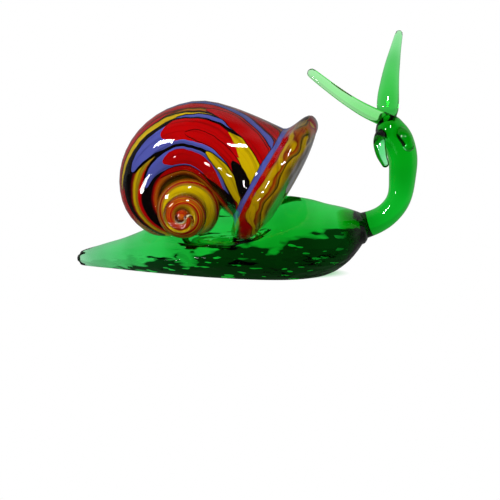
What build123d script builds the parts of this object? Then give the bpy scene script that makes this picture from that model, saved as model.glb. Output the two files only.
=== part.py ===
"""Hot-worked glass snail: a green foot, neck and feelers, with a coiled, cased shell planted in the foot.

+X points to the head, -Y to the spire's side, +Z up. The origin is on the flat sole, under the shell.
"""

import math
import os

from build123d import *

# Driving dimensions, in millimetres and degrees

# Foot: each station gives its place along X, its full width, and the heights of its ridge and its keel.
# A keel below zero is cut off flat by the sole.
tail_cut_x = -67.5
tail_cut_width = 3.0
tail_cut_ridge = 4.6
tail_cut_keel = 1.2
tail_tip_x = -65.0
tail_tip_width = 6.2
tail_tip_ridge = 6.4
tail_tip_keel = -0.2
tail_x = -50.0
tail_width = 17.0
tail_ridge = 11.2
tail_keel = -1.5
rump_x = -32.0
rump_width = 29.0
rump_ridge = 18.0
rump_keel = -3.5
middle_x = -5.0
middle_width = 42.0
middle_ridge = 26.0
middle_keel = -6.0
shoulder_x = 22.0
shoulder_width = 45.0
shoulder_ridge = 31.6
shoulder_keel = -6.0
chest_x = 41.0
chest_width = 35.0
chest_ridge = 28.0
chest_keel = 1.0
nose_x = 53.0
nose_width = 14.0
nose_ridge = 24.0
nose_keel = 12.5

# Neck and head: reach is measured forward from the nose, rise up from the neck's root
neck_root_drop = 5.2
neck_root_depth = 9.0
neck_root_dip = 2.2
neck_root_width = 11.6
neck_bend_reach = 11.8
neck_bend_rise = 8.5
neck_bend_width = 9.6
throat_reach = 15.6
throat_rise = 23.0
throat_width = 11.0
nape_reach = 14.0
nape_rise = 37.0
nape_width = 11.6
head_reach = 9.8
head_rise = 43.0
head_lean = 1.5
head_width = 12.6
neck_oval_ratio = 1.15

# Long tentacles: reach, lean to the far side and rise are measured from the head's middle
near_tip_reach = -31.2
near_tip_lean = 2.0
near_tip_rise = 21.6
near_sag = 3.2
near_root_width = 7.0
near_middle_width = 4.8
near_tip_width = 3.8
far_tip_reach = 2.6
far_tip_lean = 16.5
far_tip_rise = 35.2
far_belly = 1.4
far_root_width = 9.0
far_middle_width = 7.8
far_tip_width = 3.0

# Short lower feelers, also measured from the head's middle
hook_bow_reach = -4.4
hook_bow_lean = -8.0
hook_tip_reach = -2.2
hook_tip_lean = -12.5
hook_tip_drop = 12.5
hook_root_width = 4.8
hook_tip_width = 3.2
stub_root_rise = 2.5
stub_bow_reach = 6.2
stub_bow_lean = -7.6
stub_bow_drop = 1.0
stub_tip_reach = 8.4
stub_tip_lean = -8.4
stub_tip_drop = 7.0
stub_root_width = 5.2
stub_tip_width = 4.4

# Shell: the coil grows round its axis. Each stage has its turn and its place along the axis, its outer
# radius as a ratio of the flank's, and the rope's gap from the axis as a ratio of that stage's radius.
coil_axis_x = -18.2
coil_axis_rise = 2.7
apex_turn = -2.75
apex_ratio = 0.186
apex_gap_ratio = 0.222
apex_y = -24.5
apex_knob_width = 7.0
spire_turn = -1.5
spire_ratio = 0.3655
spire_gap_ratio = 0.2075
spire_y = -17.5
suture_turn = -0.5
suture_ratio = 0.524
suture_gap_ratio = 0.184
suture_y = -7.0
heel_turn = -0.375
heel_ratio = 0.71
heel_gap_ratio = 0.155
heel_y = -3.5
flank_turn = -0.25
flank_radius = 29.0
flank_gap_ratio = 0.124
flank_y = -0.5
crown_ratio = 1.414
crown_gap_ratio = 0.122
crown_y = 2.0

# Shell mouth: the last bend of the rope, a waist, then a round lip on the mouth's axis
mouth_turn = 0.0625
mouth_ratio = 1.455
mouth_gap_ratio = 0.109
waist_width = 42.0
waist_setback = 7.6
lip_reach = 34.9
lip_rise = 9.6
lip_slope = 29.5
lip_width = 58.6
lip_thickness = 10.0
mouth_dome = 2.6
waist_flare_slope = 0.15
mouth_edge_slope = 0.3
columella_width = 26.0
columella_tip_width = 4.6
columella_waist_width = 12.0
columella_back_y = 13.0
casing_thickness = 1.6

# How many sections each loft is drawn through, and the longest stretch of the spire, in turns
rope_sections = 5
spire_stretch_turn = 0.45
rod_sections_per_width = 3

# Places that follow from these
coil_axis_z = middle_ridge + coil_axis_rise
neck_root_z = nose_ridge - neck_root_drop
head_middle = Vector(nose_x + head_reach, -head_lean, neck_root_z + head_rise)


def oval_section(plane, width, height):
    with BuildSketch(plane) as section:
        Ellipse(width / 2, height / 2)
    return section.sketch


def drawn_rod(points, widths, flattening=1.0):
    """A rod of glass drawn along a smooth line through the points, with a melted, rounded far end."""
    with BuildLine() as line:
        Spline(*points)
    path = line.edge()
    steps = rod_sections_per_width * (len(widths) - 1)
    sections = []
    for step in range(steps + 1):
        index = min(step // rod_sections_per_width, len(widths) - 2)
        share = step / rod_sections_per_width - index
        width = widths[index] + (widths[index + 1] - widths[index]) * share
        plane = Plane(path @ (step / steps), x_dir=(0, 1, 0), z_dir=path % (step / steps))
        sections.append(oval_section(plane, width * flattening, width))
    with BuildPart() as rod:
        loft(sections)
        with Locations(path @ 1):
            Sphere(widths[-1] * flattening / 2)
    return rod.part


# Foot blank: a solid pad with a pulled tail, before the shell is pressed into it
with BuildPart() as foot_blank:
    stations = (
        (tail_cut_x, tail_cut_width, tail_cut_ridge, tail_cut_keel),
        (tail_tip_x, tail_tip_width, tail_tip_ridge, tail_tip_keel),
        (tail_x, tail_width, tail_ridge, tail_keel),
        (rump_x, rump_width, rump_ridge, rump_keel),
        (middle_x, middle_width, middle_ridge, middle_keel),
        (shoulder_x, shoulder_width, shoulder_ridge, shoulder_keel),
        (chest_x, chest_width, chest_ridge, chest_keel),
        (nose_x, nose_width, nose_ridge, nose_keel),
    )
    slices = []
    for x, width, ridge, keel in stations:
        plane = Plane((x, 0, (ridge + keel) / 2), x_dir=(0, 1, 0), z_dir=(1, 0, 0))
        slices.append(oval_section(plane, width, ridge - keel))
    loft(slices)
    split(bisect_by=Plane.XY, keep=Keep.TOP)


# Shell: the size of the rope at any turn, worked out between the stages
def between(turn, values):
    stages = (apex_turn, spire_turn, suture_turn, heel_turn, flank_turn, 0.0, mouth_turn)
    index = 0
    while index < len(stages) - 2 and turn > stages[index + 1]:
        index += 1
    share = (turn - stages[index]) / (stages[index + 1] - stages[index])
    return values[index] + (values[index + 1] - values[index]) * share


def outer_radius(turn):
    ratios = (apex_ratio, spire_ratio, suture_ratio, heel_ratio, 1.0, crown_ratio, mouth_ratio)
    return flank_radius * between(turn, ratios)


def rope_width(turn):
    gaps = (
        apex_gap_ratio,
        spire_gap_ratio,
        suture_gap_ratio,
        heel_gap_ratio,
        flank_gap_ratio,
        crown_gap_ratio,
        mouth_gap_ratio,
    )
    return outer_radius(turn) * (1 - between(turn, gaps))


def rope_plane(turn):
    """The plane square to the rope at that turn, with its origin at the rope's middle."""
    reach = outer_radius(turn) - rope_width(turn) / 2
    along = between(turn, (apex_y, spire_y, suture_y, heel_y, flank_y, crown_y, crown_y))
    clock = math.radians(360 * turn)
    middle = (coil_axis_x + reach * math.sin(clock), along, coil_axis_z + reach * math.cos(clock))
    return Plane(middle, x_dir=(0, 1, 0), z_dir=(math.cos(clock), 0, -math.sin(clock)))


def rope_section(turn, inset):
    width = rope_width(turn) - 2 * inset
    return oval_section(rope_plane(turn), width, width)


def even_turns(first, last):
    return [first + (last - first) * step / (rope_sections - 1) for step in range(rope_sections)]


def mouth_plane(along):
    """The plane square to the mouth's axis, that far in front of the lip's middle."""
    down = math.radians(lip_slope)
    axis = Vector(math.cos(down), 0, -math.sin(down))
    lip_middle = Vector(coil_axis_x + lip_reach, crown_y, coil_axis_z + lip_rise)
    return Plane(lip_middle + axis * along, x_dir=(0, 1, 0), z_dir=axis)


def lip_disc(inset):
    """The flared lip with its rounded rim, closed by a domed mouth face."""
    across = mouth_plane(0)
    side = Plane(across.origin, x_dir=across.z_dir, z_dir=(0, -1, 0))
    waist = waist_width / 2 - inset
    rim = lip_width / 2 - inset
    front = lip_thickness / 2 - inset
    face_edge = rim - lip_thickness / 2
    with BuildPart() as disc:
        with BuildSketch(side):
            with BuildLine():
                Spline((-waist_setback, waist), (0, rim), tangents=((1, waist_flare_slope), (1, 0)))
                TangentArc((0, rim), (front, face_edge), tangent=(1, 0))
                dome = (front + mouth_dome, 0)
                Spline((front, face_edge), dome, tangents=((mouth_edge_slope, -1), (0, -1)))
                Polyline(dome, (-waist_setback, 0), (-waist_setback, waist))
            make_face()
        revolve(axis=Axis(across.origin, across.z_dir))
    return disc.part


def columella(inset):
    """The pillar of glass that fills the coil along its axis and swells to the shell's rounded back."""
    tip = (apex_y, columella_tip_width / 2 - inset)
    waist = (suture_y, columella_waist_width / 2 - inset)
    swell = (crown_y, columella_width / 2 - inset)
    back = (columella_back_y - inset, 0)
    with BuildPart() as pillar:
        with BuildSketch(Plane((coil_axis_x, 0, coil_axis_z), x_dir=(0, 1, 0), z_dir=(1, 0, 0))):
            with BuildLine():
                Spline(tip, waist, swell, back, tangents=((1, 0), (0, -1)))
                Polyline(back, (apex_y, 0), tip)
            make_face()
        revolve(axis=Axis((coil_axis_x, 0, coil_axis_z), (0, 1, 0)))
    return pillar.part


def spire_solid(inset):
    """The thin first turns of the rope, their pillar and the knob at the apex."""
    with BuildPart() as spire:
        joints = [apex_turn]
        while joints[-1] + spire_stretch_turn < suture_turn:
            joints.append(joints[-1] + spire_stretch_turn)
        joints.append(suture_turn)
        for first, last in zip(joints, joints[1:]):
            loft([rope_section(turn, inset) for turn in even_turns(first, last)])
        add(columella(inset))
        with Locations(rope_plane(apex_turn).origin):
            Sphere(apex_knob_width / 2 - inset)
    return spire.part


def coiled_shell(inset):
    """The coil's whole outside, drawn in by the inset: the mouth, the body whorl and the spire."""
    waist = waist_width - 2 * inset
    with BuildPart() as shell:
        mouth = [rope_section(0.0, inset), rope_section(mouth_turn, inset)]
        mouth.append(oval_section(mouth_plane(-waist_setback), waist, waist))
        loft(mouth)
        add(lip_disc(inset))
        loft([rope_section(turn, inset) for turn in even_turns(suture_turn, 0.0)])
        add(spire_solid(inset))
    return shell.part


outer_shell = coiled_shell(0.0)

with BuildPart() as shell_core:
    add(coiled_shell(casing_thickness))

with BuildPart() as shell_casing:
    add(outer_shell)
    add(shell_core.part, mode=Mode.SUBTRACT)

with BuildPart() as foot:
    add(foot_blank.part)
    add(outer_shell, mode=Mode.SUBTRACT)

# Neck and head: a thick rod from inside the chest, seated against the foot
with BuildPart() as neck_and_head:
    add(
        drawn_rod(
            (
                (nose_x - neck_root_depth, 0, neck_root_z - neck_root_dip),
                (nose_x + neck_bend_reach, 0, neck_root_z + neck_bend_rise),
                (nose_x + throat_reach, 0, neck_root_z + throat_rise),
                (nose_x + nape_reach, -head_lean / 2, neck_root_z + nape_rise),
                head_middle,
            ),
            (neck_root_width, neck_bend_width, throat_width, nape_width, head_width),
            neck_oval_ratio,
        )
    )
    add(foot.part, mode=Mode.SUBTRACT)

# Long tentacles: drawn rods seated on the head
near_tip = head_middle + Vector(near_tip_reach, near_tip_lean, near_tip_rise)
far_tip = head_middle + Vector(far_tip_reach, far_tip_lean, far_tip_rise)
with BuildPart() as near_tentacle:
    bow = (head_middle + near_tip) / 2 + Vector(0, 0, -near_sag)
    add(drawn_rod((head_middle, bow, near_tip), (near_root_width, near_middle_width, near_tip_width)))
    add(neck_and_head.part, mode=Mode.SUBTRACT)

with BuildPart() as far_tentacle:
    bow = (head_middle + far_tip) / 2 + Vector(-far_belly, 0, 0)
    add(drawn_rod((head_middle, bow, far_tip), (far_root_width, far_middle_width, far_tip_width)))
    add(neck_and_head.part, mode=Mode.SUBTRACT)
    add(near_tentacle.part, mode=Mode.SUBTRACT)

# Short feelers below the face: one hooks down and out, one is a drop that lies along the neck
with BuildPart() as hooked_feeler:
    bow = head_middle + Vector(hook_bow_reach, hook_bow_lean, 0)
    tip = head_middle + Vector(hook_tip_reach, hook_tip_lean, -hook_tip_drop)
    add(drawn_rod((head_middle, bow, tip), (hook_root_width, hook_root_width, hook_tip_width)))
    add(neck_and_head.part, mode=Mode.SUBTRACT)

with BuildPart() as stub_feeler:
    root = head_middle + Vector(stub_bow_reach / 2, stub_bow_lean / 2, stub_root_rise)
    bow = head_middle + Vector(stub_bow_reach, stub_bow_lean, -stub_bow_drop)
    tip = head_middle + Vector(stub_tip_reach, stub_tip_lean, -stub_tip_drop)
    add(drawn_rod((root, bow, tip), (stub_root_width, stub_root_width, stub_tip_width)))
    add(neck_and_head.part, mode=Mode.SUBTRACT)

pieces = {
    "foot": foot.part,
    "neck_and_head": neck_and_head.part,
    "near_tentacle": near_tentacle.part,
    "far_tentacle": far_tentacle.part,
    "hooked_feeler": hooked_feeler.part,
    "stub_feeler": stub_feeler.part,
    "shell_core": shell_core.part,
    "shell_casing": shell_casing.part,
}
os.makedirs("parts", exist_ok=True)
for name, piece in pieces.items():
    piece.label = name
    export_step(piece, f"parts/{name}.step")
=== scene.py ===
import math

import bmesh
import bpy
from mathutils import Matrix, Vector
from mathutils.bvhtree import BVHTree


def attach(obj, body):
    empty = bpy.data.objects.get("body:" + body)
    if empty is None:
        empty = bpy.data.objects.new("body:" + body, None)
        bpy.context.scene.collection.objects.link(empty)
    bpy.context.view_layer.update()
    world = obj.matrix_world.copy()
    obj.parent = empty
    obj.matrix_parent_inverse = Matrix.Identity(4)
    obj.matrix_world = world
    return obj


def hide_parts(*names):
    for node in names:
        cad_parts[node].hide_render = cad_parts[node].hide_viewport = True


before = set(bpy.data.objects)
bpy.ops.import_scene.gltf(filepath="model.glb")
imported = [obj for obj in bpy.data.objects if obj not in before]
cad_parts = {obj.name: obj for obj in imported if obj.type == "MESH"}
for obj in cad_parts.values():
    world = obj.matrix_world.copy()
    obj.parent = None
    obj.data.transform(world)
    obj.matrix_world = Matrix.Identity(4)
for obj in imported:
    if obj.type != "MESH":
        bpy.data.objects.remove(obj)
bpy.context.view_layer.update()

MM = 0.001

# Foot: a solid pad of clear green glass, gathered hot, pulled out to a tail at the back and pressed flat
# underneath. The pressing left creases low down. The lower wall carries painted shade, near black with
# clear flecks, which stands in for the dark underside seen through the glass. The shell is fused to its
# back and the neck to its nose. Widths and heights are (x, value) pairs in millimetres.
foot_width = (
    (-67.5, 3.0), (-65, 6.2), (-50, 17), (-32, 29), (-5, 42),
    (22, 45), (41, 37), (48, 31), (52, 23), (53, 18),
)
foot_ridge = (
    (-67.5, 4.6), (-65, 6.4), (-50, 11.2), (-32, 18), (-5, 26),
    (22, 31.6), (41, 28.4), (53, 24.8),
)
foot_keel = (
    (-67.5, 1.2), (-65, -0.2), (-50, -1.5), (-32, -3.5), (-5, -6),
    (22, -6), (41, 0.6), (47, 5), (51, 9.4), (53, 12.4),
)
foot_rings = 72
foot_ring_points = 64
nose_roundness = 2.6
nose_angles = (25, 45, 65, 82)
tail_roundness = 1.0
tail_cap = ((0.0, 0.3), (0.25, 0.72), (1.0, 1.06))
sag_size, sag_height = 14.0, 0.9
sag_start, sag_rise = 1.0, 8.0
lip_place, lip_reach = 5.0, 22.0
shoulder_drop = 7.5
foot_density = 130
cloud_scale = 42
clear_green = (0.96, 1.0, 0.96, 1)
cloudy_green = (0.40, 0.58, 0.46, 1)
crease_scale, crease_tilt = (60, 110, 170), 20
crease_top, crease_full = 14.0, 6.0
# Painted shade on the foot's lower wall: its edge, its rise at the nose, its near-black colour, its flecks
shade_edge_slope, shade_edge_height, shade_edge_highest = 0.24, 11.8, 17.0
shade_edge_unevenness, shade_edge_softness = 13.0, 1.6
shade_nose_start, shade_nose_end, shade_nose_rise = 26.0, 48.0, 6.0
painted_shade_colour = (0.003, 0.004, 0.003, 1)
fleck_scale, fleck_tilt = (150, 200, 620), 25


def eased(place, stages):
    """The value at that place on a smooth line through the stages, which are (place, value) pairs."""
    last = len(stages) - 1
    index = 0
    while index < last - 1 and place > stages[index + 1][0]:
        index += 1
    slopes = []
    for stage in (index, index + 1):
        before = stages[max(stage - 1, 0)]
        after = stages[min(stage + 1, last)]
        slopes.append((after[1] - before[1]) / (after[0] - before[0]))
    gap = stages[index + 1][0] - stages[index][0]
    t = (place - stages[index][0]) / gap
    rise = t * t * (3 - 2 * t)
    value = stages[index][1] + (stages[index + 1][1] - stages[index][1]) * rise
    return value + gap * t * (1 - t) * (slopes[0] * (1 - t) - slopes[1] * t)


def foot_slices():
    """Each slice of the foot as (x, width, height, middle z), with both ends rounded off."""
    first, last = foot_width[0][0], foot_width[-1][0]
    slices = []
    for ring in range(foot_rings + 1):
        x = first + (last - first) * ring / foot_rings
        ridge, keel = eased(x, foot_ridge), eased(x, foot_keel)
        slices.append((x, eased(x, foot_width), ridge - keel, (ridge + keel) / 2))
    x, width, height, middle = slices[0]
    slices[0:1] = [(x + tail_roundness * place, width * share, height * share, middle)
                   for place, share in tail_cap]
    x, width, height, middle = slices[-1]
    for angle in nose_angles:
        turn = math.radians(angle)
        share = math.cos(turn)
        slices.append((x + nose_roundness * math.sin(turn), width * share, height * share, middle))
    return slices


bpy.ops.object.select_all(action="DESELECT")
slices = foot_slices()
x, width, height, middle = slices[0]
bpy.ops.mesh.primitive_circle_add(
    vertices=foot_ring_points, radius=1.0, fill_type="NGON", rotation=(0, math.pi / 2, 0))
foot = bpy.context.object
foot.name = "foot_glass"
bpy.ops.object.transform_apply(location=True, rotation=True, scale=True)
bpy.ops.object.mode_set(mode="EDIT")
bpy.ops.mesh.select_all(action="SELECT")
bpy.ops.transform.resize(value=(1, width / 2 * MM, height / 2 * MM), center_override=(0, 0, 0))
bpy.ops.transform.translate(value=(x * MM, 0, middle * MM))
for before, after in zip(slices, slices[1:]):
    step = ((after[0] - before[0]) * MM, 0, (after[3] - before[3]) * MM)
    bpy.ops.mesh.extrude_region_move(TRANSFORM_OT_translate={"value": step})
    bpy.ops.transform.resize(
        value=(1, after[1] / before[1], after[2] / before[2]),
        center_override=(after[0] * MM, 0, after[3] * MM))
bpy.ops.mesh.select_all(action="SELECT")
bpy.ops.mesh.normals_make_consistent(inside=False)
bpy.ops.mesh.bisect(plane_co=(0, 0, 0), plane_no=(0, 0, 1), use_fill=True, clear_inner=True)
bpy.ops.object.mode_set(mode="OBJECT")

# The hot glass has sagged a little unevenly, less so near the flat sole
raised = foot.vertex_groups.new(name="raised")
for vertex in foot.data.vertices:
    share = (vertex.co.z / MM - sag_start) / sag_rise
    raised.add([vertex.index], min(max(share, 0.0), 1.0), "REPLACE")
sag = bpy.data.textures.new("foot_sag", "CLOUDS")
sag.noise_scale = sag_size * MM
sag.noise_depth = 1
uneven = foot.modifiers.new("uneven", "DISPLACE")
uneven.texture = sag
uneven.texture_coords = "LOCAL"
uneven.strength = sag_height * MM
uneven.mid_level = 0.5
uneven.vertex_group = "raised"
bpy.ops.object.modifier_apply(modifier=uneven.name)

# Under the lip the back of the foot falls off steeply to both sides of its ridge, and the sole is flat
for vertex in foot.data.vertices:
    x, y, z = vertex.co / MM
    ridge, keel = eased(x, foot_ridge), eased(x, foot_keel)
    if z > (ridge + keel) / 2:
        aside = min(abs(y) / (eased(x, foot_width) / 2), 1.0)
        nearness = math.exp(-((x - lip_place) / lip_reach) ** 2)
        z -= shoulder_drop * nearness * 4 * aside * (1 - aside)
    vertex.co.z = max(z, 0.0) * MM
bpy.ops.object.shade_smooth_by_angle(angle=math.radians(50))


def feed(tree, socket, source):
    """Gives an input socket a plain value, or links it to another node's (node, output) pair."""
    if isinstance(source, tuple) and isinstance(source[0], bpy.types.Node):
        tree.links.new(source[0].outputs[source[1]], socket)
    else:
        socket.default_value = source


def add_math(tree, operation, *operands):
    """A Math node; each operand is a number or a (node, output) pair."""
    node = tree.nodes.new("ShaderNodeMath")
    node.operation = operation
    for index, operand in enumerate(operands):
        feed(tree, node.inputs[index], operand)
    return (node, 0)


def add_range(tree, value, start, end, low=0.0, high=1.0):
    """A Map Range node, which goes from low to high while the value goes from start to end."""
    node = tree.nodes.new("ShaderNodeMapRange")
    feed(tree, node.inputs["Value"], value)
    for socket, number in (("From Min", start), ("From Max", end), ("To Min", low), ("To Max", high)):
        node.inputs[socket].default_value = number
    return (node, "Result")


def add_noise(tree, place, scale, detail):
    """A noise over the place, which is a (node, output) pair."""
    node = tree.nodes.new("ShaderNodeTexNoise")
    feed(tree, node.inputs["Vector"], place)
    node.inputs["Scale"].default_value = scale
    node.inputs["Detail"].default_value = detail
    return (node, "Fac")


def add_mix(tree, share, first, second):
    """Mixes two colours by the share; each is a colour or a (node, output) pair."""
    node = tree.nodes.new("ShaderNodeMix")
    node.data_type = "RGBA"
    feed(tree, node.inputs[0], share)
    feed(tree, node.inputs[6], first)
    feed(tree, node.inputs[7], second)
    return (node, 2)


def add_place(tree):
    """Places measured in the object's own frame."""
    return (tree.nodes.new("ShaderNodeTexCoord"), "Object")


def add_parts(tree, vector):
    """The node that splits a vector into X, Y and Z."""
    node = tree.nodes.new("ShaderNodeSeparateXYZ")
    feed(tree, node.inputs["Vector"], vector)
    return node


def tilted(tree, place, scale, tilt):
    """The place scaled along each axis and tilted about Y, so that a noise over it is drawn out."""
    node = tree.nodes.new("ShaderNodeMapping")
    feed(tree, node.inputs["Vector"], place)
    node.inputs["Scale"].default_value = scale
    node.inputs["Rotation"].default_value = (0, math.radians(tilt), 0)
    return (node, "Vector")


def fused_glass(name, dye, density):
    """Clear glass dyed through, so that its colour comes from its depth.

    Where a piece runs into the glass that it is fused to, it has no surface of its own, and the light
    of the lamps passes straight through to the table.
    """
    material = bpy.data.materials.new(name)
    material.use_nodes = True
    tree = material.node_tree
    glass = tree.nodes["Principled BSDF"]
    glass.inputs["Roughness"].default_value = 0.0
    glass.inputs["IOR"].default_value = 1.5
    glass.inputs["Transmission Weight"].default_value = 1.0
    bare = tree.nodes.new("ShaderNodeAttribute")
    bare.attribute_name = "bare"
    outside = add_math(tree, "GREATER_THAN", (bare, "Fac"), 0.0)
    path = tree.nodes.new("ShaderNodeLightPath")
    seen = add_math(tree, "SUBTRACT", 1.0, (path, "Is Shadow Ray"))
    feed(tree, glass.inputs["Alpha"], add_math(tree, "MULTIPLY", outside, seen))
    depth = tree.nodes.new("ShaderNodeVolumeAbsorption")
    depth.inputs["Color"].default_value = dye
    depth.inputs["Density"].default_value = density
    feed(tree, tree.nodes["Material Output"].inputs["Volume"], (depth, "Volume"))
    return material


def painted_shade_share(tree, place, creases):
    """How much painted shade the foot's lower wall gets on its outer side, up to an uneven edge that rises
    at the nose.

    The shade stands in for the dark underside seen through the glass. Clear flecks break it up, except
    at the nose.
    """
    parts = add_parts(tree, place)
    edge = add_math(tree, "MULTIPLY_ADD", (parts, "X"), shade_edge_slope, shade_edge_height * MM)
    edge = add_math(tree, "MINIMUM", edge, shade_edge_highest * MM)
    at_nose = add_range(tree, (parts, "X"), shade_nose_start * MM, shade_nose_end * MM)
    edge = add_math(tree, "MULTIPLY_ADD", at_nose, shade_nose_rise * MM, edge)
    waver = add_math(tree, "MULTIPLY_ADD", creases, 2 * shade_edge_unevenness * MM, -shade_edge_unevenness * MM)
    edge = add_math(tree, "ADD", edge, waver)
    below = add_math(tree, "SUBTRACT", edge, (parts, "Z"))
    darkness = add_range(tree, below, 0.0, shade_edge_softness * MM)
    flecks = add_noise(tree, tilted(tree, place, fleck_scale, fleck_tilt), 1.0, 1.0)
    between_flecks = add_math(tree, "MAXIMUM", add_range(tree, flecks, 0.67, 0.65), at_nose)
    facing = tree.nodes.new("ShaderNodeNewGeometry")
    outer_side = add_math(tree, "SUBTRACT", 1.0, (facing, "Backfacing"))
    share = add_math(tree, "MULTIPLY", darkness, between_flecks)
    return add_math(tree, "MULTIPLY", share, outer_side)


def green_glass(name, ripple_scale, ripple_height, dye=(0.02, 0.86, 0.33, 1), density=430, clouds=0.8,
                pressed_and_shaded=False):
    """Slightly cloudy green glass with the ripples of cooling on its skin, and where pressed, creases and
    painted shade on the lower wall.
    """
    material = fused_glass(name, dye, density)
    tree = material.node_tree
    glass = tree.nodes["Principled BSDF"]
    place = add_place(tree)
    height = add_noise(tree, place, ripple_scale, 1.0)
    cloudiness = add_range(tree, add_noise(tree, place, cloud_scale, 2.0), 0.42, 0.68, 0.0, clouds)
    colour = add_mix(tree, cloudiness, clear_green, cloudy_green)
    if pressed_and_shaded:
        creases = add_noise(tree, tilted(tree, place, crease_scale, crease_tilt), 1.0, 2.0)
        level = (add_parts(tree, place), "Z")
        low = add_range(tree, level, crease_top * MM, crease_full * MM, 0.0, 2.0)
        height = add_math(tree, "MULTIPLY_ADD", creases, low, height)
        # Painted shade: the lower wall is mixed towards near black for the dark underside seen through it
        colour = add_mix(tree, painted_shade_share(tree, place, creases), colour, painted_shade_colour)
    feed(tree, glass.inputs["Base Color"], colour)
    bump = tree.nodes.new("ShaderNodeBump")
    bump.inputs["Distance"].default_value = ripple_height * MM
    feed(tree, bump.inputs["Height"], height)
    feed(tree, glass.inputs["Normal"], (bump, "Normal"))
    return material


# The foot is pressed: creases low down, and painted shade on its lower wall
foot.data.materials.append(green_glass("foot_green", 70, 1.2, density=foot_density, pressed_and_shaded=True))
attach(foot, "root")
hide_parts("foot")

# Neck and head: a thick rod of the same green glass, stuck to the nose of the foot while soft and bent
# up by its own weight and the puller's hand. Its rounded end is the head.
neck_points = (
    (44, 0, 16.6),
    (64.8, 0, 27.3),
    (68.6, 0, 41.8),
    (66.9, -0.75, 54.4),
    (63.4, -1.5, 59.6),
)
neck_widths = (11.6, 9.6, 11.0, 12.3, 12.0)
neck_flattening = 1.15
neck_density = 520
tip_angles = (30, 55, 72, 86)


def drawn_rod(name, points, widths, flattening=1.0):
    """A rod of glass drawn along a smooth line through the points, with a melted, rounded far end."""
    line = bpy.data.curves.new(name, "CURVE")
    line.dimensions = "3D"
    line.bevel_depth = MM
    line.bevel_resolution = 10
    line.resolution_u = 14
    line.use_fill_caps = True
    spline = line.splines.new("BEZIER")
    along = [Vector(point) for point in points]
    radii = [width / 2 for width in widths]
    heading = (along[-1] - along[-2]).normalized()
    tip, tip_radius = along[-1], radii[-1]
    for angle in tip_angles:
        turn = math.radians(angle)
        along.append(tip + heading * tip_radius * math.sin(turn))
        radii.append(tip_radius * math.cos(turn))
    spline.bezier_points.add(len(along) - 1)
    spline.radius_interpolation = "CARDINAL"
    for point, place, radius in zip(spline.bezier_points, along, radii):
        point.co = place * MM
        point.radius = radius
        point.handle_left_type = "AUTO"
        point.handle_right_type = "AUTO"
    rod = bpy.data.objects.new(name, line)
    bpy.context.collection.objects.link(rod)
    bpy.ops.object.select_all(action="DESELECT")
    rod.select_set(True)
    bpy.context.view_layer.objects.active = rod
    bpy.ops.object.convert(target="MESH")
    rod = bpy.context.object
    bpy.ops.object.mode_set(mode="EDIT")
    bpy.ops.mesh.select_all(action="SELECT")
    bpy.ops.mesh.remove_doubles(threshold=0.01 * MM)
    bpy.ops.mesh.normals_make_consistent(inside=False)
    bpy.ops.transform.resize(value=(1, flattening, 1), center_override=(0, along[0].y * MM, 0))
    bpy.ops.object.mode_set(mode="OBJECT")
    bpy.ops.object.shade_smooth()
    return rod


neck = drawn_rod("neck_glass", neck_points, neck_widths, neck_flattening)
neck.data.materials.append(green_glass("neck_green", 90, 0.5, density=neck_density))
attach(neck, "root")
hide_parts("neck_and_head")

# Tentacles: two long rods of green glass, each touched hot to the top of the head, drawn out thin and
# melted off, so that each end is a small round bead. The near one was pressed flat.
head = Vector((62.8, -1.5, 61.8))
near_root = head + Vector((2.4, -3.4, 1.2))
near_tip = head + Vector((-31.2, 2.0, 20.2))
near_middle = (near_root + near_tip) / 2 + Vector((0, 0, -2.2))
near_bend = near_root.lerp(near_middle, 0.35) + Vector((0, 0, -0.6))
near_widths = (5.4, 5.8, 5.0, 3.8)
near_flattening = 0.6
near_dye, near_density = (0.05, 0.9, 0.08, 1), 400
near_points = (near_root, near_bend, near_middle, near_tip)
near_tentacle = drawn_rod("near_tentacle_glass", near_points, near_widths, near_flattening)
near_tentacle.data.materials.append(
    green_glass("near_tentacle_green", 120, 0.3, near_dye, near_density, clouds=0.2))
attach(near_tentacle, "root")
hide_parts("near_tentacle")

far_points = (
    head + Vector((-0.4, 1.5, 0.4)),
    head + Vector((-0.8, 3.4, 6.2)),
    head + Vector((-0.3, 8.4, 17.2)),
    head + Vector((1.0, 12.6, 26.6)),
    head + Vector((2.6, 16.5, 35.2)),
)
far_widths = (5.4, 8.8, 7.4, 5.2, 3.0)
far_dye, far_density = (0.02, 0.84, 0.17, 1), 340
far_tentacle = drawn_rod("far_tentacle_glass", far_points, far_widths)
far_tentacle.data.materials.append(
    green_glass("far_tentacle_green", 120, 0.3, far_dye, far_density, clouds=0.5))
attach(far_tentacle, "root")
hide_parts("far_tentacle")

# Feelers: two short trails of green glass that run down from the head, one curled like a hook, the
# other a round tongue along the front of the neck.
hook_points = (
    head + Vector((-1.2, -2.0, -2.4)),
    head + Vector((-3.2, -7.4, -4.8)),
    head + Vector((-2.5, -10.4, -10.0)),
    head + Vector((-0.7, -12.2, -14.0)),
)
hook_widths = (5.0, 5.0, 4.4, 3.0)
hooked_feeler = drawn_rod("hooked_feeler_glass", hook_points, hook_widths)
hooked_feeler.data.materials.append(green_glass("hooked_feeler_green", 160, 0.3))
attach(hooked_feeler, "root")
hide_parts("hooked_feeler")

stub_points = (
    head + Vector((3.4, -2.4, -2.0)),
    head + Vector((6.4, -6.4, -3.9)),
    head + Vector((8.2, -7.6, -7.5)),
)
stub_widths = (5.2, 5.2, 4.4)
stub_feeler = drawn_rod("stub_feeler_glass", stub_points, stub_widths)
stub_feeler.data.materials.append(green_glass("stub_feeler_green", 160, 0.3))
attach(stub_feeler, "root")
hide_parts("stub_feeler")

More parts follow.
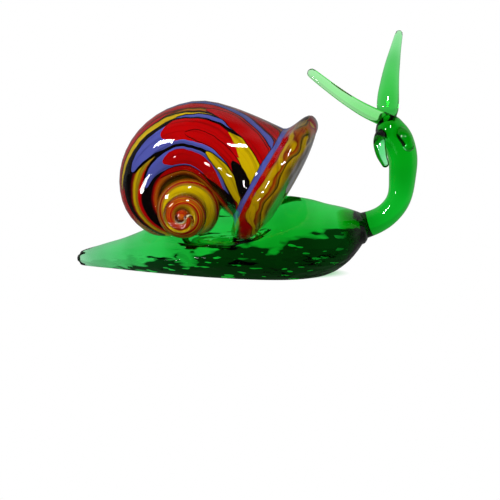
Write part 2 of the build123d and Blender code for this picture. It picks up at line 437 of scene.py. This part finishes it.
# Shell strands: coloured glass threads laid on a gather, twisted and coiled to a spiral that ends in a
# flared lip. They are the opaque colour under the clear casing. The rope's outer radius, its width and
# its place along the coil's axis are (turn, value) pairs in millimetres.
coil_axis = Vector((-18.2, 0, 28.7))
spire_base, spire_tip = -7.0, -24.5
spire_droop = 3.0
rope_radius = (
    (-2.75, 5.4), (-1.5, 10.6), (-0.5, 15.2), (-0.375, 20.6), (-0.25, 29), (0, 41), (0.0625, 42.2),
)
rope_width = (
    (-2.75, 4.2), (-1.5, 8.4), (-0.5, 12.4), (-0.375, 17.4), (-0.25, 25.4), (0, 36), (0.0625, 37.6),
)
rope_along = (
    (-2.75, -24.5), (-1.5, -17.5), (-0.5, -7), (-0.375, -3.5), (-0.25, -0.5), (0, 2), (0.0625, 2),
)
apex_turn, mouth_turn = -2.75, 0.0625
apex_angles = (30, 55, 72, 88)
rings_per_turn = 48
rope_points = 72
throat_steps = 6
millimetres_per_turn = 145.0
lip_middle = Vector((15.8, 2, 37.0))
lip_slope = math.radians(29.5)
lip_radius = 29.3
lip_stretch = 0.075
lip_thickness = 10.0
rim_steps, face_steps = 8, 10
waist_radius = 21.0
waist_setback = 7.6
mouth_dome = 2.6
flare_steps = 8
flare_turns = 0.193
mouth_turns = 0.25
rim_without_strands = 4.5
pillar_width = ((-24.5, 2.3), (-7, 6), (2, 13))
pillar_start, pillar_swell, pillar_end = -2.6, -0.6, -0.3
pillar_steps, back_steps = 24, 12
back_start, back_depth = 2.0, 11.0
pillar_winding = 2.5
least_radius = 0.05
casing_thickness = 1.6


def axis_at(y):
    """The point on the coil's axis at that place along it; the soft spire droops towards its tip."""
    share = min(max((spire_base - y) / (spire_base - spire_tip), 0.0), 1.0)
    return Vector((coil_axis.x, y, coil_axis.z - spire_droop * share))


def bent(start, end, start_pull, end_pull, share):
    """A point on a smooth line that leaves the start and reaches the end with the given pulls."""
    t = share
    rise = t * t * (3 - 2 * t)
    leave = t * (1 - t) * (1 - t)
    reach = t * t * (1 - t)
    return [a + (b - a) * rise + p * leave - q * reach
            for a, b, p, q in zip(start, end, start_pull, end_pull)]


def lip_profile(inset, clear_rim):
    """The lip from its waist over the rim to the middle of the mouth, as (along the axis, radius)."""
    waist = (-waist_setback, waist_radius - inset)
    rim = (0, lip_radius - inset - clear_rim)
    front = lip_thickness / 2 - inset
    face_edge = lip_radius - lip_thickness / 2 - clear_rim
    profile = [bent(waist, rim, (11, 1.7), (11, 0), step / flare_steps) for step in range(flare_steps)]
    for step in range(rim_steps + 1):
        turn = math.radians(90 * step / rim_steps)
        profile.append([front * math.sin(turn), face_edge + (rim[1] - face_edge) * math.cos(turn)])
    edge, middle = (front, face_edge), (front + mouth_dome, 0)
    profile += [bent(edge, middle, (7, -23), (0, -24), step / face_steps) for step in range(1, face_steps)]
    profile.append([front + mouth_dome, least_radius])
    return profile


def shell_rings(inset, clear_rim):
    """The shell's rings from apex to mouth, each (turn, middle, outward, radius)."""
    rings = []
    count = round((mouth_turn - apex_turn) * rings_per_turn)
    for step in range(count + 1):
        turn = apex_turn + (mouth_turn - apex_turn) * step / count
        radius = eased(turn, rope_width) / 2 - inset
        reach = eased(turn, rope_radius) - eased(turn, rope_width) / 2
        clock = 2 * math.pi * turn
        outward = Vector((math.sin(clock), 0, math.cos(clock)))
        middle = axis_at(eased(turn, rope_along)) + outward * reach
        rings.append([turn, middle, outward, radius])
    tip_turn, tip_middle, tip_outward, tip_radius = rings[0]
    tip_heading = (rings[0][1] - rings[1][1]).normalized()
    for angle in apex_angles:
        lean = math.radians(angle)
        middle = tip_middle + tip_heading * tip_radius * math.sin(lean)
        rings.insert(0, [tip_turn, middle, tip_outward, tip_radius * math.cos(lean)])
    axis = Vector((math.cos(lip_slope), 0, -math.sin(lip_slope)))
    outward = Vector((math.sin(lip_slope), 0, math.cos(lip_slope)))
    profile = lip_profile(inset, clear_rim)
    turn, throat_middle, throat_outward, throat_radius = rings[-1]
    clock = 2 * math.pi * mouth_turn
    heading = Vector((math.cos(clock), 0, -math.sin(clock)))
    waist_middle = lip_middle + axis * profile[0][0]
    length = (waist_middle - throat_middle).length
    turn_step = length / throat_steps / millimetres_per_turn
    for step in range(1, throat_steps):
        share = step / throat_steps
        middle = Vector(bent(throat_middle, waist_middle, heading * length, axis * length, share))
        turn += turn_step
        radius = throat_radius + (profile[0][1] - throat_radius) * share
        rings.append([turn, middle, throat_outward.lerp(outward, share).normalized(), radius])
    turn += turn_step
    for index, (along, radius) in enumerate(profile):
        if index <= flare_steps:
            share = flare_turns * index / flare_steps
        else:
            share = flare_turns + mouth_turns * (index - flare_steps) / (len(profile) - 1 - flare_steps)
        stretched = outward * (1 + lip_stretch * min(index / flare_steps, 1.0))
        rings.append([turn + share, lip_middle + axis * along, stretched, radius])
    return rings


def pillar_rings(inset):
    """The pillar of glass along the coil's axis, which swells to the shell's rounded back."""
    tip = spire_tip + inset
    places = [(pillar_start, tip, least_radius)]
    for step in range(pillar_steps):
        share = step / pillar_steps
        turn = pillar_start + (pillar_swell - pillar_start) * share
        y = tip + (back_start - tip) * share
        places.append((turn, y, eased(y, pillar_width) - inset))
    for step in range(back_steps):
        share = step / back_steps
        turn = pillar_swell + (pillar_end - pillar_swell) * share
        lean = math.radians(90 * share)
        y = back_start + (back_depth - inset) * math.sin(lean)
        places.append((turn, y, (pillar_width[-1][1] - inset) * math.cos(lean)))
    places.append((pillar_end, back_start + back_depth - inset, least_radius))
    upward = Vector((0, 0, 1))
    return [[turn, axis_at(y), upward, max(radius, least_radius)] for turn, y, radius in places]


def skin(shell, layer, rings, across, wound=0.0):
    """Covers a row of rings with faces, and stores the turn and the place around the rope as a map.

    Where the strands are wound round the piece, the place around follows the turn.
    """
    rows = []
    for turn, middle, outward, radius in rings:
        row = []
        for step in range(rope_points):
            lean = 2 * math.pi * step / rope_points
            place = middle + (outward * math.cos(lean) + across * math.sin(lean)) * radius
            row.append(shell.verts.new(place * MM))
        rows.append(row)
    for index in range(len(rows) - 1):
        for step in range(rope_points):
            after = (step + 1) % rope_points
            face = shell.faces.new(
                (rows[index][step], rows[index + 1][step], rows[index + 1][after], rows[index][after]))
            face.smooth = True
            turns = (rings[index][0], rings[index + 1][0], rings[index + 1][0], rings[index][0])
            arounds = (step, step, step + 1, step + 1)
            for loop, turn, around in zip(face.loops, turns, arounds):
                loop[layer].uv = (turn, wound * turn if wound else around / rope_points)
    shell.faces.new(rows[0])
    shell.faces.new(reversed(rows[-1]))


def coiled_shell(name, inset, clear_rim):
    """The whole shell drawn in by the inset: the rope with its lip, and the pillar inside the coil."""
    shell = bmesh.new()
    layer = shell.loops.layers.uv.new("strand_map")
    skin(shell, layer, shell_rings(inset, clear_rim), Vector((0, -1, 0)))
    skin(shell, layer, pillar_rings(inset), Vector((1, 0, 0)), wound=pillar_winding)
    bmesh.ops.recalc_face_normals(shell, faces=shell.faces)
    mesh = bpy.data.meshes.new(name)
    shell.to_mesh(mesh)
    shell.free()
    piece = bpy.data.objects.new(name, mesh)
    bpy.context.collection.objects.link(piece)
    return piece


strands = coiled_shell("shell_strands", casing_thickness, rim_without_strands)


def strand_group():
    """A node group for one strand: how deep a place on the map lies inside it, below 0 outside."""
    group = bpy.data.node_groups.new("laid_strand", "ShaderNodeTree")
    for name in ("Turn", "Across", "Start", "End", "Middle", "Drift", "Width", "Opening", "Closing"):
        group.interface.new_socket(name=name, in_out="INPUT", socket_type="NodeSocketFloat")
    group.interface.new_socket(name="Depth", in_out="OUTPUT", socket_type="NodeSocketFloat")
    given = group.nodes.new("NodeGroupInput")
    result = group.nodes.new("NodeGroupOutput")
    past = add_math(group, "SUBTRACT", (given, "Turn"), (given, "Start"))
    left = add_math(group, "SUBTRACT", (given, "End"), (given, "Turn"))
    moved = add_math(group, "MULTIPLY_ADD", past, (given, "Drift"), (given, "Middle"))
    off = add_math(group, "SUBTRACT", (given, "Across"), moved)
    aside = add_math(group, "ABSOLUTE", add_math(group, "WRAP", off, 0.5, -0.5))
    opening = add_math(group, "DIVIDE", past, (given, "Opening"))
    opening = add_math(group, "MAXIMUM", opening, 0.0)
    opening = add_math(group, "MINIMUM", add_math(group, "SQRT", opening), 1.0)
    closing = add_math(group, "MINIMUM", add_math(group, "DIVIDE", left, (given, "Closing")), 1.0)
    fullness = add_math(group, "MULTIPLY", opening, closing)
    half = add_math(group, "MULTIPLY", fullness, (given, "Width"))
    depth = add_math(group, "SUBTRACT", half, aside)
    before_start = add_math(group, "LESS_THAN", past, 0.0)
    depth = add_math(group, "SUBTRACT", depth, before_start)
    feed(group, result.inputs["Depth"], depth)
    return group


laid_strand = strand_group()
red = (0.22, 0.0008, 0.0015, 1)
dark_red = (0.11, 0.004, 0.003, 1)
blue = (0.04, 0.05, 0.25, 1)
black = (0.0015, 0.001, 0.001, 1)
mustard = (0.29, 0.215, 0.0008, 1)
olive = (0.13, 0.09, 0.006, 1)
amber = (0.24, 0.06, 0.003, 1)
smoke = (0.10, 0.085, 0.07, 1)


def coloured_ramp(tree, place, stops):
    """A row of colours along a place, which is a (node, output) pair."""
    node = tree.nodes.new("ShaderNodeValToRGB")
    feed(tree, node.inputs["Fac"], place)
    bar = node.color_ramp.elements
    bar[0].position, bar[0].color = stops[0]
    bar[1].position, bar[1].color = stops[-1]
    for position, colour in stops[1:-1]:
        bar.new(position).color = colour
    return (node, "Color")


strand_glass = bpy.data.materials.new("strand_glass")
strand_glass.use_nodes = True
tree = strand_glass.node_tree
surface = tree.nodes["Principled BSDF"]
surface.inputs["Roughness"].default_value = 0.3
surface.inputs["Specular IOR Level"].default_value = 0.0
strand_map = tree.nodes.new("ShaderNodeUVMap")
strand_map.uv_map = "strand_map"
map_parts = add_parts(tree, (strand_map, "UV"))
waver = add_noise(tree, add_place(tree), 70, 2)
turn = (map_parts, "X")
around = add_math(tree, "ADD", (map_parts, "Y"), add_math(tree, "MULTIPLY_ADD", waver, 0.03, -0.015))

# The strands lie along the rope with a slight twist, which grows from the crown towards the mouth
crown_turn, twist_per_turn, mouth_twist = 0.03, 0.15, 2.2
past_crown = add_math(tree, "MAXIMUM", add_math(tree, "SUBTRACT", turn, crown_turn), 0.0)
added_twist = add_math(tree, "MULTIPLY", add_math(tree, "POWER", past_crown, 2.0), mouth_twist)
twist = add_math(tree, "MULTIPLY_ADD", turn, twist_per_turn, added_twist)
across = add_math(tree, "FRACT", add_math(tree, "ADD", add_math(tree, "SUBTRACT", around, twist), 1.0))
colour = coloured_ramp(tree, across, (
    (0.000, red), (0.050, red), (0.058, dark_red), (0.063, black), (0.068, olive), (0.074, amber),
    (0.078, black), (0.082, olive), (0.086, black), (0.190, black), (0.205, dark_red), (0.215, mustard),
    (0.235, olive), (0.243, red), (0.255, red), (0.262, black), (0.315, black), (0.325, red),
    (0.340, amber), (0.360, black), (0.450, mustard), (0.480, black), (0.600, dark_red), (0.720, mustard),
    (0.820, black), (0.880, olive), (0.915, amber), (0.930, black), (0.950, mustard), (0.965, dark_red),
    (0.975, black), (1.000, red),
))

# Each strand: colour, dark edge, turns where it starts and ends, place across, drift, half width, ends
laid_strands = (
    (red, 0.004, -0.42, -0.02, 0.130, -0.15, 0.056, 0.05, 0.25),
    (mustard, 0.008, -0.22, 0.09, 0.128, -0.14, 0.014, 0.10, 0.15),
    (blue, 0.012, -0.165, 0.22, 0.184, 0.0, 0.047, 0.12, 0.10),
    (blue, 0.012, -0.185, 0.17, 0.280, -0.03, 0.035, 0.13, 0.10),
    (mustard, 0.004, 0.060, 0.24, 0.232, 0.0, 0.024, 0.10, 0.05),
    (mustard, 0.004, 0.080, 0.26, 0.130, 0.0, 0.045, 0.12, 0.03),
    (red, 0.0, -0.055, 0.15, 0.170, -0.06, 0.046, 0.03, 0.06),
    (red, 0.003, 0.000, 0.21, 0.186, 0.0, 0.019, 0.03, 0.06),
    (black, 0.0, 0.135, 0.30, 0.190, 0.0, 0.046, 0.14, 0.02),
    (red, 0.0, -0.075, 0.15, 0.273, 0.03, 0.027, 0.03, 0.06),
    (red, 0.004, -0.120, 0.12, 0.322, 0.0, 0.011, 0.05, 0.06),
    (blue, 0.006, -0.020, 0.24, 0.112, -0.17, 0.008, 0.05, 0.05),
    (red, 0.004, 0.030, 0.27, 0.066, 0.0, 0.030, 0.06, 0.04),
    (blue, 0.006, -0.060, 0.25, 0.008, 0.0, 0.012, 0.05, 0.05),
    (red, 0.004, -0.330, 0.25, 0.960, 0.0, 0.024, 0.05, 0.05),
    (blue, 0.008, -0.300, 0.25, 0.860, 0.0, 0.046, 0.05, 0.05),
    (red, 0.0, -0.250, 0.24, 0.858, 0.0, 0.034, 0.04, 0.05),
    (blue, 0.008, -0.320, 0.25, 0.700, 0.0, 0.044, 0.05, 0.05),
    (red, 0.0, -0.260, 0.24, 0.702, 0.0, 0.033, 0.04, 0.05),
    (mustard, 0.006, -0.300, 0.24, 0.610, 0.0, 0.020, 0.06, 0.05),
    (blue, 0.008, -0.340, 0.25, 0.520, 0.0, 0.036, 0.05, 0.05),
    (red, 0.0, -0.290, 0.24, 0.520, 0.0, 0.026, 0.04, 0.05),
    (red, 0.004, -0.300, 0.24, 0.420, 0.0, 0.022, 0.05, 0.05),
)
strand_sockets = ("Start", "End", "Middle", "Drift", "Width", "Opening", "Closing")
for paint, edge, *values in laid_strands:
    strand = tree.nodes.new("ShaderNodeGroup")
    strand.node_tree = laid_strand
    for socket, value in zip(strand_sockets, values):
        strand.inputs[socket].default_value = value
    feed(tree, strand.inputs["Turn"], turn)
    feed(tree, strand.inputs["Across"], across)
    if edge > 0:
        with_edge = add_math(tree, "GREATER_THAN", (strand, "Depth"), -edge)
        colour = add_mix(tree, with_edge, colour, black)
    inside = add_math(tree, "GREATER_THAN", (strand, "Depth"), 0.0)
    colour = add_mix(tree, inside, colour, paint)

# On the flare the strands have been wound round the mouth as rings, which start earlier at the bottom
flare_start, rings_scale = 0.15, 2.0
blue_ring, black_line = 0.150, 0.012
bottom_start, bottom_end, bottom_shift = 0.28, 0.44, 0.10
ring = add_math(tree, "ADD", turn, add_math(tree, "MULTIPLY_ADD", waver, 0.06, -0.03))
ring = add_math(tree, "MULTIPLY", add_math(tree, "SUBTRACT", ring, flare_start), rings_scale)
bottom = add_range(tree, (map_parts, "Y"), bottom_start, bottom_end, 0.0, bottom_shift)
bottom[0].interpolation_type = "SMOOTHSTEP"
ring = add_math(tree, "SUBTRACT", ring, bottom)
rings = coloured_ramp(tree, ring, (
    (0.000, blue), (0.275, blue), (0.282, black), (0.290, red), (0.445, red), (0.452, black),
    (0.460, amber), (0.470, mustard), (0.495, mustard), (0.502, dark_red), (0.515, amber), (0.530, olive),
    (0.545, black), (0.555, mustard), (0.600, olive), (0.650, smoke), (0.830, smoke), (0.870, mustard),
    (0.920, smoke), (1.000, smoke),
))
blue_edge = add_math(tree, "SUBTRACT", blue_ring, bottom)
black_edge = add_math(tree, "SUBTRACT", blue_edge, black_line)
colour = add_mix(tree, add_math(tree, "GREATER_THAN", ring, black_edge), colour, black)
colour = add_mix(tree, add_math(tree, "GREATER_THAN", ring, blue_edge), colour, rings)

# The small turns of the spire show thin lines, and its tip is red
spire_turn = -0.40
lines_around, lines_drift = 2.0, 0.35
drift = add_math(tree, "MULTIPLY", turn, lines_drift)
fine = add_math(tree, "FRACT", add_math(tree, "MULTIPLY_ADD", around, lines_around, drift))
fine_lines = coloured_ramp(tree, fine, (
    (0.00, mustard), (0.15, mustard), (0.22, olive), (0.27, amber), (0.34, red), (0.37, dark_red),
    (0.40, amber), (0.46, mustard), (0.49, dark_red), (0.55, amber), (0.62, amber), (0.66, dark_red),
    (0.70, mustard), (0.73, red), (0.80, dark_red), (0.84, amber), (0.90, olive), (0.95, mustard),
    (1.00, mustard),
))
colour = add_mix(tree, add_math(tree, "LESS_THAN", turn, spire_turn), colour, fine_lines)
colour = add_mix(tree, add_range(tree, turn, -1.7, -2.4, 0.0, 0.8), colour, red)

# Fine drawn streaks run along every strand
streaks_along, streaks_across, streak_strength = 3.0, 70.0, 0.6
drawn_out = tree.nodes.new("ShaderNodeCombineXYZ")
feed(tree, drawn_out.inputs["X"], add_math(tree, "MULTIPLY", turn, streaks_along))
feed(tree, drawn_out.inputs["Y"], add_math(tree, "MULTIPLY", across, streaks_across))
streaks = add_noise(tree, (drawn_out, "Vector"), 1.0, 2.0)
colour = add_mix(tree, add_range(tree, streaks, 0.52, 0.75, 0.0, streak_strength), colour, black)
feed(tree, surface.inputs["Base Color"], colour)
strands.data.materials.append(strand_glass)
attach(strands, "root")
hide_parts("shell_core")

# Shell casing: a last gather of clear, faintly yellow glass over the strands, which gives the shell its
# deep gloss. It cooled smooth round the coil and a little wavy towards the mouth.
casing_dye, casing_density = (0.73, 0.63, 0.27, 1), 150
wave_scale, wave_height = 75, 4.0
casing = coiled_shell("shell_clear_casing", 0.0, 0.0)
clear_glass = fused_glass("clear_glass", casing_dye, casing_density)
tree = clear_glass.node_tree
glass = tree.nodes["Principled BSDF"]
glass.inputs["Base Color"].default_value = (1.0, 0.99, 0.96, 1)
glass.inputs["Roughness"].default_value = 0.04
casing_map = tree.nodes.new("ShaderNodeUVMap")
casing_map.uv_map = "strand_map"
casing_turn = (add_parts(tree, (casing_map, "UV")), "X")
waves = tree.nodes.new("ShaderNodeBump")
waves.inputs["Distance"].default_value = wave_height * MM
feed(tree, waves.inputs["Strength"], add_range(tree, casing_turn, -0.05, 0.12, 0.04, 1.0))
feed(tree, waves.inputs["Height"], add_noise(tree, add_place(tree), wave_scale, 1.0))
feed(tree, glass.inputs["Normal"], (waves, "Normal"))
casing.data.materials.append(clear_glass)
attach(casing, "root")
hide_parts("shell_casing")

# Fused joints: the pieces were melted into each other, so that inside a neighbour a piece has no skin.
# Each point stores how far it lies outside its neighbours, below 0 where it is inside one.
looks = ((1, 0.1, 0.2), (-1, 0.2, 0.1), (0.1, 1, 0.2), (0.2, -1, 0.1), (0.1, 0.2, 1), (0.2, 0.1, -1))
fused = {
    foot: (neck, casing),
    neck: (foot, near_tentacle, far_tentacle, hooked_feeler, stub_feeler),
    near_tentacle: (neck, far_tentacle, hooked_feeler, stub_feeler),
    far_tentacle: (neck, near_tentacle, hooked_feeler, stub_feeler),
    hooked_feeler: (neck, near_tentacle, far_tentacle, stub_feeler),
    stub_feeler: (neck, near_tentacle, far_tentacle, hooked_feeler),
    casing: (foot,),
}


def lies_inside(faces, point):
    """True where a look in some direction first meets the back of a face."""
    for look in looks:
        place, normal, index, distance = faces.ray_cast(point, Vector(look))
        if place is not None and normal.dot(Vector(look)) > 0:
            return True
    return False


graph = bpy.context.evaluated_depsgraph_get()
faces_of = {piece: BVHTree.FromObject(piece, graph) for piece in fused}
for piece, neighbours in fused.items():
    bare = piece.data.attributes.new("bare", "FLOAT", "POINT")
    for vertex in piece.data.vertices:
        nearest = 1.0
        for neighbour in neighbours:
            place, normal, index, distance = faces_of[neighbour].find_nearest(vertex.co)
            side = -1.0 if lies_inside(faces_of[neighbour], vertex.co) else 1.0
            nearest = min(nearest, side * distance)
        bare.data[vertex.index].value = nearest

# Studio: a white table that keeps the snail's shadow close by and shines white farther out, in a white
# room. Mirrored in the glass, the room is dark in front, apart from a bright card on the table.
table_gap = 0.2
shadow_half = (48.0, 16.0)
card_middle, card_half, card_strength = (-84.0, -122.0), (18.0, 22.0), 25.0
front_level, back_level = 0.015, 0.25


def oval_reach(tree, place, middle, half):
    """How far a place on the table lies from the middle of an oval, where 1 is its edge."""
    oval = tree.nodes.new("ShaderNodeMapping")
    feed(tree, oval.inputs["Vector"], place)
    oval.inputs["Location"].default_value = (-middle[0] / half[0], -middle[1] / half[1], 0)
    oval.inputs["Scale"].default_value = (1 / (half[0] * MM), 1 / (half[1] * MM), 1)
    reach = tree.nodes.new("ShaderNodeVectorMath")
    reach.operation = "LENGTH"
    feed(tree, reach.inputs[0], (oval, "Vector"))
    return (reach, "Value")


bpy.ops.object.select_all(action="DESELECT")
bpy.ops.mesh.primitive_plane_add(size=6, location=(0, 0, -table_gap * MM))
table = bpy.context.object
table.name = "table"
table_white = bpy.data.materials.new("table_white")
table_white.use_nodes = True
tree = table_white.node_tree
tree.nodes.remove(tree.nodes["Principled BSDF"])
paper = tree.nodes.new("ShaderNodeBsdfDiffuse")
paper.inputs["Color"].default_value = (0.9, 0.9, 0.9, 1)
shine = tree.nodes.new("ShaderNodeEmission")
path = tree.nodes.new("ShaderNodeLightPath")
place = add_place(tree)
mirrored = add_math(tree, "GREATER_THAN", (path, "Is Glossy Ray"), (path, "Is Transmission Ray"))
depthwise = (add_parts(tree, place), "Y")
front_dark = add_range(tree, depthwise, -30 * MM, 60 * MM, front_level, back_level)
level = add_math(tree, "MULTIPLY", mirrored, front_dark)
level = add_math(tree, "ADD", level, add_math(tree, "SUBTRACT", 1.0, mirrored))
on_card = add_math(tree, "LESS_THAN", oval_reach(tree, place, card_middle, card_half), 1.0)
card_light = add_math(tree, "MULTIPLY", add_math(tree, "MULTIPLY", on_card, mirrored), card_strength)
feed(tree, shine.inputs["Strength"], add_math(tree, "ADD", level, card_light))
far_out = add_range(tree, oval_reach(tree, place, (0, 0), shadow_half), 0.75, 1.0)
shining = add_math(tree, "MULTIPLY", (path, "Is Camera Ray"), far_out)
shining = add_math(tree, "MAXIMUM", shining, mirrored)
shining = add_math(tree, "MAXIMUM", shining, (path, "Is Transmission Ray"))
white = tree.nodes.new("ShaderNodeMixShader")
feed(tree, white.inputs[0], shining)
feed(tree, white.inputs[1], (paper, "BSDF"))
feed(tree, white.inputs[2], (shine, "Emission"))
feed(tree, tree.nodes["Material Output"].inputs["Surface"], (white, "Shader"))
table.data.materials.append(table_white)

# The room is white where the camera looks, and bright but uneven where it is seen through the glass
diffuse_level = 0.35
world = bpy.data.worlds.new("studio")
bpy.context.scene.world = world
world.use_nodes = True
tree = world.node_tree
air = tree.nodes["Background"]
air.inputs["Color"].default_value = (1, 1, 1, 1)
path = tree.nodes.new("ShaderNodeLightPath")
direction = add_parts(tree, (tree.nodes.new("ShaderNodeTexCoord"), "Generated"))
ceiling = add_range(tree, (direction, "Z"), 0.03, 0.12, 1.0, 0.8)
walls = add_range(tree, add_math(tree, "ABSOLUTE", (direction, "Y")), 0.1, 0.6, 0.5, 1.0)
room = add_math(tree, "MULTIPLY", ceiling, walls)
refracted = add_math(tree, "MULTIPLY", (path, "Is Transmission Ray"), room)
mirrored = add_math(tree, "GREATER_THAN", (path, "Is Glossy Ray"), (path, "Is Transmission Ray"))
front = add_range(tree, (direction, "Y"), -0.35, 0.15, front_level, back_level)
mirrored = add_math(tree, "MULTIPLY", mirrored, front)
strength = add_math(tree, "MAXIMUM", refracted, mirrored)
strength = add_math(tree, "MAXIMUM", strength, (path, "Is Camera Ray"))
diffuse = add_math(tree, "MULTIPLY", (path, "Is Diffuse Ray"), diffuse_level)
feed(tree, air.inputs["Strength"], add_math(tree, "MAXIMUM", strength, diffuse))

# Two soft boxes in front give the paired highlights; the foot and the near tentacle lie outside their light
lamp_distance, lamp_power = 450, 1.4
lit_by_lamps = bpy.data.collections.new("lit_by_lamps")
for piece in (neck, far_tentacle, hooked_feeler, stub_feeler, strands, casing, table):
    lit_by_lamps.objects.link(piece)
for name, side, rise, wide, high in (("left", -41, 28, 130, 55), ("right", 16, 47, 60, 60)):
    lamp = bpy.data.lights.new(name + "_soft_box", "AREA")
    lamp.shape = "RECTANGLE"
    lamp.size = wide * MM
    lamp.size_y = high * MM
    lamp.energy = lamp_power
    box = bpy.data.objects.new(lamp.name, lamp)
    bpy.context.collection.objects.link(box)
    turn, lift = math.radians(side), math.radians(rise)
    out = Vector((math.sin(turn) * math.cos(lift), -math.cos(turn) * math.cos(lift), math.sin(lift)))
    box.location = out * lamp_distance * MM
    box.rotation_euler = (-out).to_track_quat("-Z", "Y").to_euler()
    box.light_linking.receiver_collection = lit_by_lamps

# Camera: a little right of the snail's side and a little above, from over half a metre away.
camera_turn, camera_lift = math.radians(8), math.radians(12)
camera_target = Vector((6.3, 0, 8.5))
camera_distance = 577
view = bpy.data.cameras.new("camera")
view.lens = 100
view.sensor_width = 36
camera = bpy.data.objects.new("camera", view)
bpy.context.collection.objects.link(camera)
back = Vector((
    math.sin(camera_turn) * math.cos(camera_lift),
    -math.cos(camera_turn) * math.cos(camera_lift),
    math.sin(camera_lift),
))
camera.location = (camera_target + back * camera_distance) * MM
camera.rotation_euler = (-back).to_track_quat("-Z", "Y").to_euler()
bpy.context.scene.camera = camera
bpy.context.scene.view_settings.view_transform = "Standard"
